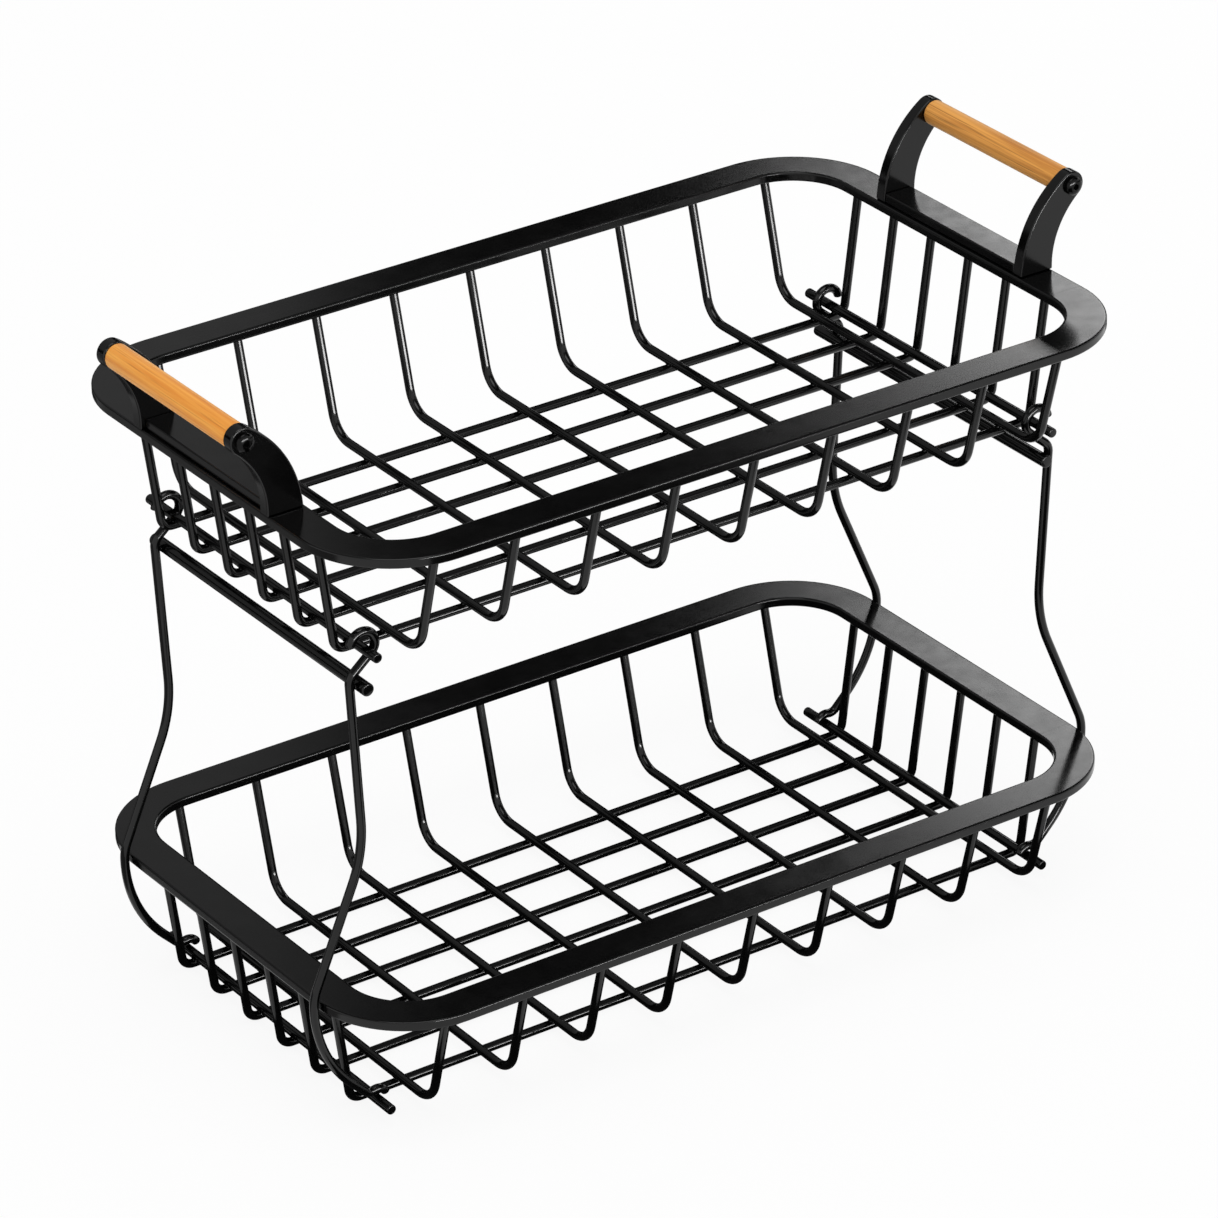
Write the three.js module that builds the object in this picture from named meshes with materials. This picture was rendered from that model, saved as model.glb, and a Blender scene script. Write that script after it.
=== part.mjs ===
// Two-tier countertop fruit basket: two wire baskets with flat strip rims, held one above the
// other by two wire leg frames, and two wooden grips on the ends of the upper basket.
// Millimetres, Z up. X runs along the long side, Y to the back.
// The origin is on the table under the middle of the lower basket.
import * as THREE from 'three';

// Rims: a flat steel strip bent to a rounded rectangle, lying flat.
const rimLength = 400;
const rimWidth = 240;
const stripWidth = 18;
const stripThickness = 4.4;
const rimCornerRadius = 46;
const rimEdgeBreak = 0.5;
const rimCornerSteps = 9;

// Baskets: bent wires that hang from the rim and cross on the floor.
const wireDiameter = 4;
const wireSides = 8;
const bendSteps = 4;
const basketDepth = 63.4;
const tierSpacing = 215;
const crossWireCount = 9;
const crossRowInset = 20.1;
const crossWireShift = 3;
const crossWallLean = 14;
const crossBendRadius = 13;
const longWireCount = 6;
const longRowInset = 25.6;
const longWireShift = 2.2;
const longWallLean = 7.7;
const longBendRadius = 5.5;
const wireTopInset = 4.6;
const weldGap = 0.3;

// End rods: straight rods across the ends of each basket floor, which the leg frames hold.
const endRodDiameter = 4.4;
const endRodInset = 4.1;

// Leg frames: two bent wires and a thicker cross rod at each end.
const legWireDiameter = 4;
const backLegGap = 0.9;
const frontLegGap = 8.2;
const legOutset = 7;
const eyeRadius = 6;
const eyeGap = 0.35;
const eyeFreeEndDeg = 8;
const eyeNeckDeg = 40;
const neckBendRadius = 6;
const crossRodDiameter = 5.8;
const crossRodInset = 5.5;
const crossRodDrop = 16.5;
const kneeInset = 4.3;
const kneeBendRadius = 65;
const legSlopeDeg = 23.5;
const bowGap = 0.6;
const bowTopRadius = 22;
const hookLineDeg = 45;
const hookGap = 0.7;
const hookNeckRadius = 5;
const hookEndDeg = 154;
const arcStepDeg = 20;

// Handles: a base bar and two ears on each end of the upper rim, with a wooden grip between.
const earThickness = 6;
const earSpan = 92;
const earFootWidth = 17.4;
const earFootOutset = 0.9;
const earTopWidth = 12.4;
const earSteps = 8;
const earTipSteps = 8;
const earEdgeBreak = 0.5;
const gripDiameter = 11.4;
const gripHeight = 36.9;
const gripOutset = 19.3;
const gripEndBreak = 0.7;
const gripSides = 24;
const baseBarWidth = 14.4;
const baseBarHeight = 4.1;
const screwHeadDiameter = 8.4;
const screwHeadHeight = 2.6;
const screwShankDiameter = 3.6;
const screwDepthInGrip = 12;
const screwClearance = 0.3;
const seatGap = 0.3;

// Heights and places that the pieces share.
const wireRadius = wireDiameter / 2;
const legRadius = legWireDiameter / 2;
const endRodRadius = endRodDiameter / 2;
const crossRodRadius = crossRodDiameter / 2;
const lowerRimTop = basketDepth;
const upperRimTop = basketDepth + tierSpacing;
const longWireDrop = basketDepth - wireRadius;
const crossWireDrop = longWireDrop - wireDiameter - weldGap;
const endRodDrop = longWireDrop - wireRadius - weldGap - endRodRadius;
const wireTopDrop = stripThickness + weldGap;
const crossWireTopY = rimWidth / 2 - stripWidth + wireTopInset;
const crossWireFootY = crossWireTopY - crossWallLean;
const longWireTopX = rimLength / 2 - stripWidth + wireTopInset;
const longWireFootX = longWireTopX - longWallLean;
const endRodX = longWireFootX - longBendRadius;
const crossWirePitch = 2 * (longWireFootX - crossRowInset) / (crossWireCount - 1);
const longWireHalfSpan = crossWireFootY - longRowInset;
const longWirePitch = 2 * longWireHalfSpan / (longWireCount - 1);
const endRodLength = 2 * (crossWireFootY - endRodInset);
const crossRodLength = endRodLength - 2 * crossRodInset;
const backLegY = longWireShift + longWireHalfSpan + wireRadius + backLegGap + legRadius;
const frontLegY = longWireShift - longWireHalfSpan - wireRadius - frontLegGap - legRadius;

const blackPaint = { color: 0x0e0e0f, roughness: 0.22, metalness: 0 };
const gripWood = { color: 0xd58c48, roughness: 0.5, metalness: 0 };
const blackScrew = { color: 0x141414, roughness: 0.3, metalness: 0.6 };

const group = new THREE.Group();

function addPiece(name, geometry, look) {
  const mesh = new THREE.Mesh(geometry, new THREE.MeshStandardMaterial(look));
  mesh.name = name;
  group.add(mesh);
}

function degrees(angle) {
  return THREE.MathUtils.degToRad(angle);
}

// A path given by its own stations, so that straight runs take one step and bends take several.
// Level ends are cut flat under the rim instead of square to the wire.
class StationPath extends THREE.Curve {
  constructor(stations, levelEnds) {
    super();
    this.stations = stations;
    this.levelEnds = levelEnds;
  }

  getPoint(t) {
    return this.stations[Math.round(t * (this.stations.length - 1))].clone();
  }

  getPointAt(u) {
    return this.getPoint(u);
  }

  getTangentAt(u) {
    const last = this.stations.length - 1;
    const here = Math.round(u * last);
    const direction = new THREE.Vector3();
    if (here > 0) {
      direction.add(this.stations[here].clone().sub(this.stations[here - 1]).normalize());
    }
    if (here < last) {
      direction.add(this.stations[here + 1].clone().sub(this.stations[here]).normalize());
    }
    if (this.levelEnds && (here === 0 || here === last)) {
      direction.set(0, 0, direction.z);
    }
    return direction.normalize();
  }
}

// A round section with flats that face along and across the plane of the bend.
function roundSection(diameter, sides) {
  const shape = new THREE.Shape();
  const cornerRadius = diameter / 2 / Math.cos(Math.PI / sides);
  for (let i = 0; i < sides; i += 1) {
    const angle = (i + 0.5) * 2 * Math.PI / sides;
    const x = cornerRadius * Math.cos(angle);
    const y = cornerRadius * Math.sin(angle);
    if (i === 0) {
      shape.moveTo(x, y);
    } else {
      shape.lineTo(x, y);
    }
  }
  shape.closePath();
  return shape;
}

function tube(stations, diameter, levelEnds = false) {
  return new THREE.ExtrudeGeometry(roundSection(diameter, wireSides), {
    extrudePath: new StationPath(stations, levelEnds),
    steps: stations.length - 1,
  });
}

// Points on an arc about a centre, from one angle to another, both ends included.
function arcPoints(centre, radius, fromAngle, toAngle, steps) {
  const points = [];
  for (let i = 0; i <= steps; i += 1) {
    const angle = fromAngle + (toAngle - fromAngle) * i / steps;
    const offset = new THREE.Vector2(Math.cos(angle), Math.sin(angle));
    points.push(offset.multiplyScalar(radius).add(centre));
  }
  return points;
}

// Rounds the corner between two straight runs and returns the points of the rounding.
function roundedCorner(before, corner, after, radius, steps) {
  const toBefore = before.clone().sub(corner).normalize();
  const toAfter = after.clone().sub(corner).normalize();
  const half = toBefore.angleTo(toAfter) / 2;
  const tangentLength = radius / Math.tan(half);
  const start = corner.clone().addScaledVector(toBefore, tangentLength);
  const end = corner.clone().addScaledVector(toAfter, tangentLength);
  const middle = toBefore.clone().add(toAfter).normalize();
  const centre = corner.clone().addScaledVector(middle, radius / Math.sin(half));
  const fromAngle = start.clone().sub(centre).angle();
  let sweep = end.clone().sub(centre).angle() - fromAngle;
  if (sweep > Math.PI) {
    sweep -= 2 * Math.PI;
  }
  if (sweep < -Math.PI) {
    sweep += 2 * Math.PI;
  }
  return arcPoints(centre, radius, fromAngle, fromAngle + sweep, steps);
}

// The flat strip rim, with its edges broken.
function roundedOutline(target, length, width, radius) {
  const x = length / 2 - radius;
  const y = width / 2 - radius;
  const corners = [[x, y, 0], [-x, y, 90], [-x, -y, 180], [x, -y, 270]];
  const points = [];
  for (const [cx, cy, startDeg] of corners) {
    const centre = new THREE.Vector2(cx, cy);
    points.push(...arcPoints(centre, radius, degrees(startDeg), degrees(startDeg + 90), rimCornerSteps));
  }
  target.setFromPoints(points);
}

function rim(topHeight) {
  const outer = new THREE.Shape();
  roundedOutline(outer, rimLength, rimWidth, rimCornerRadius);
  const inner = new THREE.Path();
  const innerRadius = rimCornerRadius - stripWidth;
  roundedOutline(inner, rimLength - 2 * stripWidth, rimWidth - 2 * stripWidth, innerRadius);
  outer.holes.push(inner);
  const geometry = new THREE.ExtrudeGeometry(outer, {
    depth: stripThickness - 2 * rimEdgeBreak,
    bevelEnabled: true,
    bevelThickness: rimEdgeBreak,
    bevelSize: rimEdgeBreak,
    bevelOffset: -rimEdgeBreak,
    bevelSegments: 1,
  });
  return geometry.translate(0, 0, topHeight - stripThickness + rimEdgeBreak);
}

// A wire bent to a wide U, given in its own plane as distance along and height.
function bentWirePoints(topReach, footReach, bendRadius, rimTop, floorDrop) {
  const topHeight = rimTop - wireTopDrop;
  const floorHeight = rimTop - floorDrop;
  const top = new THREE.Vector2(topReach, topHeight);
  const foot = new THREE.Vector2(footReach, floorHeight);
  const farFoot = new THREE.Vector2(-footReach, floorHeight);
  const farTop = new THREE.Vector2(-topReach, topHeight);
  return [
    top,
    ...roundedCorner(top, foot, farFoot, bendRadius, bendSteps),
    ...roundedCorner(foot, farFoot, farTop, bendRadius, bendSteps),
    farTop,
  ];
}

function crossWire(x, rimTop) {
  const points = bentWirePoints(crossWireTopY, crossWireFootY, crossBendRadius, rimTop, crossWireDrop);
  return tube(points.map((p) => new THREE.Vector3(x, p.x, p.y)), wireDiameter, true);
}

function longWire(y, rimTop) {
  const points = bentWirePoints(longWireTopX, longWireFootX, longBendRadius, rimTop, longWireDrop);
  return tube(points.map((p) => new THREE.Vector3(p.x, y, p.y)), wireDiameter, true);
}

function rodAlongY(x, z, length, diameter) {
  const ends = [new THREE.Vector3(x, length / 2, z), new THREE.Vector3(x, -length / 2, z)];
  return tube(ends, diameter);
}

function addBasket(tier, rimTop) {
  addPiece(`${tier}_rim`, rim(rimTop), blackPaint);
  for (let i = 0; i < crossWireCount; i += 1) {
    const x = (i - (crossWireCount - 1) / 2) * crossWirePitch + crossWireShift;
    addPiece(`${tier}_cross_wire_${i + 1}`, crossWire(x, rimTop), blackPaint);
  }
  for (let i = 0; i < longWireCount; i += 1) {
    const y = (i - (longWireCount - 1) / 2) * longWirePitch + longWireShift;
    addPiece(`${tier}_long_wire_${i + 1}`, longWire(y, rimTop), blackPaint);
  }
  for (const [side, sign] of [['left', -1], ['right', 1]]) {
    const rod = rodAlongY(sign * endRodX, rimTop - endRodDrop, endRodLength, endRodDiameter);
    addPiece(`${tier}_end_rod_${side}`, rod, blackPaint);
  }
}

// One leg wire in the plane of X and Z, for the right end. It starts at the free end of the eye
// round the upper end rod, runs down outside the cross rod to the knee, bows out round the lower
// rim, comes in towards the lower end rod and ends in a hook over it.
const legX = endRodX + legOutset;
const kneeX = legX - kneeInset;
const upperRod = new THREE.Vector2(endRodX, upperRimTop - endRodDrop);
const lowerRod = new THREE.Vector2(endRodX, lowerRimTop - endRodDrop);

function eyePoints() {
  const eyeCentre = upperRod.clone();
  eyeCentre.y += eyeRadius - legRadius - endRodRadius - eyeGap;
  const eyeEnd = 1.5 * Math.PI - degrees(eyeNeckDeg);
  const eyeStart = degrees(eyeFreeEndDeg);
  const eyeSteps = Math.ceil((eyeEnd - eyeStart) / degrees(arcStepDeg));
  return arcPoints(eyeCentre, eyeRadius, eyeStart, eyeEnd, eyeSteps);
}

// The bow is an arc above the middle of the rim and a wider arc below it, which ends on the
// straight line to the middle of the lower end rod.
function bowPoints() {
  const line = degrees(hookLineDeg);
  const slope = degrees(legSlopeDeg);
  const outward = new THREE.Vector2(Math.sin(line), -Math.cos(line));
  const side = new THREE.Vector2(rimLength / 2, lowerRimTop - stripThickness / 2);
  side.x += legRadius / Math.cos(Math.PI / wireSides) + bowGap;
  const lowRadius = outward.dot(lowerRod.clone().sub(side)) / (1 - outward.x);
  const topCentre = new THREE.Vector2(side.x - bowTopRadius, side.y);
  const lowCentre = new THREE.Vector2(side.x - lowRadius, side.y);
  const topSteps = Math.ceil(slope / degrees(arcStepDeg / 2));
  const lowSteps = Math.ceil(line / degrees(arcStepDeg / 2));
  const topArc = arcPoints(topCentre, bowTopRadius, slope, 0, topSteps);
  return [...topArc, ...arcPoints(lowCentre, lowRadius, 0, -line, lowSteps).slice(1)];
}

// The hook turns up out of the line and over the rod, and ends inside the rod.
function hookPoints() {
  const hookRadius = legRadius + endRodRadius + hookGap;
  const line = degrees(90 - hookLineDeg);
  const reach = hookRadius + hookNeckRadius;
  const crest = line + Math.asin(hookNeckRadius / reach);
  const toNeck = new THREE.Vector2(Math.cos(crest), Math.sin(crest));
  const neckCentre = lowerRod.clone().addScaledVector(toNeck, reach);
  const neckStart = line - Math.PI / 2;
  const neckEnd = crest - Math.PI;
  const neckSteps = Math.ceil((neckStart - neckEnd) / degrees(arcStepDeg));
  const hookEnd = degrees(hookEndDeg);
  const hookSteps = Math.ceil((hookEnd - crest) / degrees(arcStepDeg));
  const neck = arcPoints(neckCentre, hookNeckRadius, neckStart, neckEnd, neckSteps);
  return [...neck, ...arcPoints(lowerRod, hookRadius, crest, hookEnd, hookSteps).slice(1)];
}

// Where the straight run from the neck to the knee starts and ends, before its bends.
function legRunEnds() {
  const neckStart = eyePoints().pop();
  const neckFall = (legX - neckStart.x) * Math.tan(degrees(eyeNeckDeg));
  const bowTop = bowPoints()[0];
  const kneeRise = (bowTop.x - kneeX) / Math.tan(degrees(legSlopeDeg));
  return [new THREE.Vector2(legX, neckStart.y - neckFall), new THREE.Vector2(kneeX, bowTop.y + kneeRise)];
}

function legPoints() {
  const eye = eyePoints();
  const bow = bowPoints();
  const [neck, knee] = legRunEnds();
  return [
    ...eye,
    ...roundedCorner(eye[eye.length - 1], neck, knee, neckBendRadius, bendSteps),
    ...roundedCorner(neck, knee, bow[0], kneeBendRadius, bendSteps),
    ...bow,
    ...hookPoints(),
  ];
}

// The cross rod lies against the inside of the leaning run of both legs.
function crossRodPlace() {
  const [neck, knee] = legRunEnds();
  const lean = (neck.x - knee.x) / (neck.y - knee.y);
  const height = upperRod.y - crossRodDrop;
  const offset = (legRadius + crossRodRadius + weldGap) * Math.hypot(1, lean);
  return new THREE.Vector2(legX - lean * (neck.y - height) - offset, height);
}

function addLegFrame(side, sign) {
  for (const [place, y] of [['front', frontLegY], ['back', backLegY]]) {
    const stations = legPoints().map((p) => new THREE.Vector3(sign * p.x, y, p.y));
    addPiece(`${side}_leg_${place}`, tube(stations, legWireDiameter), blackPaint);
  }
  const rodPlace = crossRodPlace();
  const rod = rodAlongY(sign * rodPlace.x, rodPlace.y, crossRodLength, crossRodDiameter);
  addPiece(`${side}_leg_cross_rod`, rod, blackPaint);
}

// Handle ear: a plate that sweeps up and out from the middle of the end strip to the grip.
const endStripX = rimLength / 2 - stripWidth / 2;
const earFootX = endStripX + earFootOutset;
const gripX = endStripX + gripOutset;
const gripZ = upperRimTop + gripHeight;
const screwHoleRadius = (screwShankDiameter / 2 + screwClearance) / Math.cos(Math.PI / gripSides);

function earOutline() {
  const rise = gripHeight - seatGap;
  const lead = gripX - earFootX;
  const sweepRadius = (lead * lead + rise * rise) / (2 * lead);
  const sweepCentre = new THREE.Vector2(earFootX + sweepRadius, upperRimTop + seatGap);
  const sweepAngle = Math.asin(rise / sweepRadius);
  const innerSide = [];
  const outerSide = [];
  for (let i = 0; i <= earSteps; i += 1) {
    const part = i / earSteps;
    const halfWidth = THREE.MathUtils.lerp(earFootWidth, earTopWidth, part) / 2;
    const angle = Math.PI - sweepAngle * part;
    const direction = new THREE.Vector2(Math.cos(angle), Math.sin(angle));
    innerSide.push(direction.clone().multiplyScalar(sweepRadius + halfWidth).add(sweepCentre));
    outerSide.push(direction.clone().multiplyScalar(sweepRadius - halfWidth).add(sweepCentre));
  }
  const tipCentre = new THREE.Vector2(gripX, gripZ);
  const tipStart = Math.PI - sweepAngle;
  const tip = arcPoints(tipCentre, earTopWidth / 2, tipStart, tipStart - Math.PI, earTipSteps);
  return [...innerSide, ...tip.slice(1, -1), ...outerSide.reverse()];
}

function ear(sign, middleY) {
  const shape = new THREE.Shape(earOutline().map((p) => new THREE.Vector2(sign * p.x, p.y)));
  const hole = new THREE.Path();
  const holeCentre = new THREE.Vector2(sign * gripX, gripZ);
  hole.setFromPoints(arcPoints(holeCentre, screwHoleRadius, 0, 2 * Math.PI, gripSides).slice(0, -1));
  shape.holes.push(hole);
  const geometry = new THREE.ExtrudeGeometry(shape, {
    depth: earThickness - 2 * earEdgeBreak,
    bevelEnabled: true,
    bevelThickness: earEdgeBreak,
    bevelSize: earEdgeBreak,
    bevelOffset: -earEdgeBreak,
    bevelSegments: 1,
  });
  geometry.rotateX(Math.PI / 2);
  return geometry.translate(0, middleY + earThickness / 2 - earEdgeBreak, 0);
}

// Turned pieces: a profile of radius and distance along the axis, spun and laid along Y.
function turnedAlongY(profile, x, y, z, facing) {
  const geometry = new THREE.LatheGeometry(profile.map(([r, d]) => new THREE.Vector2(r, d)), gripSides);
  if (facing < 0) {
    geometry.rotateZ(Math.PI);
  }
  return geometry.translate(x, y, z);
}

function grip(sign) {
  const half = earSpan / 2 - seatGap;
  const boreDepth = half - screwDepthInGrip - screwClearance;
  const radius = gripDiameter / 2;
  const profile = [
    [0, -boreDepth],
    [screwHoleRadius, -boreDepth],
    [screwHoleRadius, -half],
    [radius - gripEndBreak, -half],
    [radius, -half + gripEndBreak],
    [radius, half - gripEndBreak],
    [radius - gripEndBreak, half],
    [screwHoleRadius, half],
    [screwHoleRadius, boreDepth],
    [0, boreDepth],
  ];
  return turnedAlongY(profile, sign * gripX, 0, gripZ, 1);
}

// The screw's zero is the outer face of the ear; its shank runs in and its domed head stands out.
function screw(sign, facing) {
  const shank = screwShankDiameter / 2;
  const head = screwHeadDiameter / 2;
  const reach = earThickness + seatGap + screwDepthInGrip;
  const domeSteps = 4;
  const profile = [[0, -reach], [shank, -reach], [shank, seatGap], [head, seatGap]];
  for (let i = 1; i <= domeSteps; i += 1) {
    const angle = Math.PI / 2 * i / domeSteps;
    const height = seatGap + screwHeadHeight * (0.35 + 0.65 * Math.sin(angle));
    profile.push([head * Math.cos(angle), height]);
  }
  profile[profile.length - 1][0] = 0;
  const face = earSpan / 2 + earThickness;
  return turnedAlongY(profile, sign * gripX, facing * face, gripZ, facing);
}

function baseBar(sign) {
  const shape = new THREE.Shape();
  const halfWidth = baseBarWidth / 2 - earEdgeBreak;
  const bottom = upperRimTop + seatGap + earEdgeBreak;
  const top = upperRimTop + seatGap + baseBarHeight - earEdgeBreak;
  shape.moveTo(sign * endStripX - halfWidth, bottom);
  shape.lineTo(sign * endStripX + halfWidth, bottom);
  shape.lineTo(sign * endStripX + halfWidth, top);
  shape.lineTo(sign * endStripX - halfWidth, top);
  shape.closePath();
  const length = earSpan - 2 * seatGap;
  const geometry = new THREE.ExtrudeGeometry(shape, {
    depth: length - 2 * earEdgeBreak,
    bevelEnabled: true,
    bevelThickness: earEdgeBreak,
    bevelSize: earEdgeBreak,
    bevelSegments: 1,
  });
  geometry.rotateX(Math.PI / 2);
  return geometry.translate(0, length / 2 - earEdgeBreak, 0);
}

function addHandle(side, sign) {
  addPiece(`${side}_handle_base_bar`, baseBar(sign), blackPaint);
  for (const [place, ySign] of [['front', -1], ['back', 1]]) {
    const middleY = ySign * (earSpan + earThickness) / 2;
    addPiece(`${side}_handle_ear_${place}`, ear(sign, middleY), blackPaint);
    addPiece(`${side}_handle_screw_${place}`, screw(sign, ySign), blackScrew);
  }
  addPiece(`${side}_handle_grip`, grip(sign), gripWood);
}

addBasket('lower', lowerRimTop);
addBasket('upper', upperRimTop);
for (const [side, sign] of [['left', -1], ['right', 1]]) {
  addLegFrame(side, sign);
  addHandle(side, sign);
}

export default group;
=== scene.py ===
import math

import bpy
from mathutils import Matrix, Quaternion, Vector


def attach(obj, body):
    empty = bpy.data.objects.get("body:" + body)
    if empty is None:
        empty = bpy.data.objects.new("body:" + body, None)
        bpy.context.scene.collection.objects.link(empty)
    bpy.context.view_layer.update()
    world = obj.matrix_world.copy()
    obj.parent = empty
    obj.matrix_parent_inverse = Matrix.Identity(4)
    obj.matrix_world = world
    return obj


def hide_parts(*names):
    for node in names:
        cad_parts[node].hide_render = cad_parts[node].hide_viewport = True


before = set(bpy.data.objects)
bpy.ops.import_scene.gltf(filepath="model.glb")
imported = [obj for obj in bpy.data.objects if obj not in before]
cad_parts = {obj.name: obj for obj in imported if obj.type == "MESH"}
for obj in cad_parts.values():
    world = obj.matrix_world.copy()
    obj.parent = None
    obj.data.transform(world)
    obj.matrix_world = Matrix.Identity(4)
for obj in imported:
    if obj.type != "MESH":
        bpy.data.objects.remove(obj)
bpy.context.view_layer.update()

# Rims
# The top edge of each basket is one flat steel strip, bent on edge to a rounded rectangle.
# Its two ends meet in a butt weld beside the front right corner, ground nearly flush before painting.
mm = 0.001
rim_length = 400 * mm
rim_width = 240 * mm
rim_corner_radius = 46 * mm
rim_corner_steps = 20
strip_width = 18 * mm
strip_thickness = 4.4 * mm
strip_edge_radius = 0.8 * mm
strip_edge_steps = 4
strip_flat_hold = 0.4 * mm
seam_half_width = 0.5 * mm
seam_depth = 0.02 * mm
seam_hold = 0.4 * mm
tiers = {"lower": 63.4 * mm, "upper": 278.4 * mm}
paint_black = (0.0008, 0.0008, 0.0008, 1.0)
cloudy_black = (0.0018, 0.0018, 0.0019, 1.0)
clear_patch = 0.015
hazy_patch = 0.02
paint_crease = math.radians(50)


def paint_material(name, roughness, peel_size, peel_depth):
    # Sprayed gloss enamel: a little cloudiness in the black, a slight haze and a fine orange peel.
    material = bpy.data.materials.new(name)
    material.use_nodes = True
    tree = material.node_tree
    surface = tree.nodes["Principled BSDF"]
    surface.inputs["IOR"].default_value = 1.4
    surface.inputs["Metallic"].default_value = 0.0
    place = tree.nodes.new("ShaderNodeTexCoord")

    cloud = tree.nodes.new("ShaderNodeTexNoise")
    cloud.inputs["Scale"].default_value = 34.0
    cloud.inputs["Detail"].default_value = 4.0
    tree.links.new(place.outputs["Object"], cloud.inputs["Vector"])
    tint = tree.nodes.new("ShaderNodeValToRGB")
    tint.color_ramp.elements[0].position = 0.3
    tint.color_ramp.elements[0].color = paint_black
    tint.color_ramp.elements[1].position = 0.75
    tint.color_ramp.elements[1].color = cloudy_black
    tree.links.new(cloud.outputs["Fac"], tint.inputs["Fac"])
    tree.links.new(tint.outputs["Color"], surface.inputs["Base Color"])

    haze = tree.nodes.new("ShaderNodeTexNoise")
    haze.inputs["Scale"].default_value = 120.0
    haze.inputs["Detail"].default_value = 3.0
    tree.links.new(place.outputs["Object"], haze.inputs["Vector"])
    haze_range = tree.nodes.new("ShaderNodeMapRange")
    haze_range.inputs["From Min"].default_value = 0.3
    haze_range.inputs["From Max"].default_value = 0.7
    haze_range.inputs["To Min"].default_value = roughness - clear_patch
    haze_range.inputs["To Max"].default_value = roughness + hazy_patch
    tree.links.new(haze.outputs["Fac"], haze_range.inputs["Value"])
    tree.links.new(haze_range.outputs["Result"], surface.inputs["Roughness"])

    peel = tree.nodes.new("ShaderNodeTexNoise")
    peel.inputs["Scale"].default_value = 1.0 / peel_size
    peel.inputs["Detail"].default_value = 1.0
    tree.links.new(place.outputs["Object"], peel.inputs["Vector"])
    relief = tree.nodes.new("ShaderNodeBump")
    relief.inputs["Strength"].default_value = 0.35
    relief.inputs["Distance"].default_value = peel_depth
    tree.links.new(peel.outputs["Fac"], relief.inputs["Height"])
    tree.links.new(relief.outputs["Normal"], surface.inputs["Normal"])
    return material


rim_paint = paint_material(
    "gloss_black_strip_paint", roughness=0.16, peel_size=1.4 * mm, peel_depth=0.002 * mm
)


def place_in_scene(name, data):
    item = bpy.data.objects.new(name, data)
    bpy.context.scene.collection.objects.link(item)
    return item


def piece_from_faces(name, points, faces, material, crease):
    # A smooth piece, apart from the edges that turn by more than the crease angle.
    mesh = bpy.data.meshes.new(name)
    mesh.from_pydata(points, [], faces)
    mesh.validate()
    mesh.update()
    mesh.shade_smooth()
    mesh.set_sharp_from_angle(angle=crease)
    mesh.materials.append(material)
    return place_in_scene(name, mesh)


def ring_faces(ring_count, ring_size, closed_round):
    # Joins each ring of points to the next, and the last to the first where it closes round.
    faces = []
    last = ring_count if closed_round else ring_count - 1
    for ring in range(last):
        here = ring * ring_size
        there = (ring + 1) % ring_count * ring_size
        for i in range(ring_size):
            j = (i + 1) % ring_size
            faces.append((here + i, here + j, there + j, there + i))
    return faces


def strip_section():
    # Inset from the outer edge and depth under the top, right round the strip. Every flat has a
    # point close to each of its rounded edges, so that smooth shading leaves it flat.
    corners = [
        (strip_edge_radius, strip_edge_radius, 180),
        (strip_edge_radius, strip_thickness - strip_edge_radius, 90),
        (strip_width - strip_edge_radius, strip_thickness - strip_edge_radius, 0),
        (strip_width - strip_edge_radius, strip_edge_radius, -90),
    ]
    section = []
    for inset, depth, start in corners:
        rounding = []
        for step in range(strip_edge_steps + 1):
            angle = math.radians(start + 90 - 90 * step / strip_edge_steps)
            across = inset + strip_edge_radius * math.cos(angle)
            down = depth + strip_edge_radius * math.sin(angle)
            rounding.append((across, down))
        hold_x = strip_flat_hold * math.cos(math.radians(start))
        hold_y = strip_flat_hold * math.sin(math.radians(start))
        before = (rounding[0][0] - hold_x, rounding[0][1] - hold_y)
        after = (rounding[-1][0] + hold_y, rounding[-1][1] - hold_x)
        section += [before, *rounding, after]
    return section


def rim_stations():
    # Corner centre, direction outwards and dip of the surface, in order round the rim.
    reach_x = rim_length / 2 - rim_corner_radius
    reach_y = rim_width / 2 - rim_corner_radius
    corners = [
        (reach_x, reach_y, 0),
        (-reach_x, reach_y, 90),
        (-reach_x, -reach_y, 180),
        (reach_x, -reach_y, 270),
    ]
    stations = []
    for x, y, start in corners:
        for step in range(rim_corner_steps + 1):
            angle = math.radians(start + 90 * step / rim_corner_steps)
            outwards = Vector((math.cos(angle), math.sin(angle), 0))
            stations.append((Vector((x, y, 0)), outwards, 0.0))
    # The seam, with a station a little way off on either side that keeps the strip beyond it flat.
    seam_start = seam_hold - reach_y
    seam_end = seam_start + 2 * seam_half_width
    seam = [
        (seam_start, 0.0),
        (seam_start + seam_half_width, seam_depth),
        (seam_end, 0.0),
        (seam_end + seam_hold, 0.0),
    ]
    for along, dip in seam:
        stations.append((Vector((reach_x, along, 0)), Vector((1, 0, 0)), dip))
    return stations


for tier, rim_top in tiers.items():
    section = strip_section()
    points = []
    for centre, outwards, dip in rim_stations():
        for across, down in section:
            point = centre + outwards * (rim_corner_radius - across)
            sunk = dip if down < strip_thickness / 2 else -dip
            point.z = rim_top - down - sunk
            points.append(point)
    faces = ring_faces(len(points) // len(section), len(section), True)
    rim = piece_from_faces(f"{tier}_painted_rim", points, faces, rim_paint, paint_crease)
    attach(rim, f"{tier}_basket")
    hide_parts(f"{tier}_rim")

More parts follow.
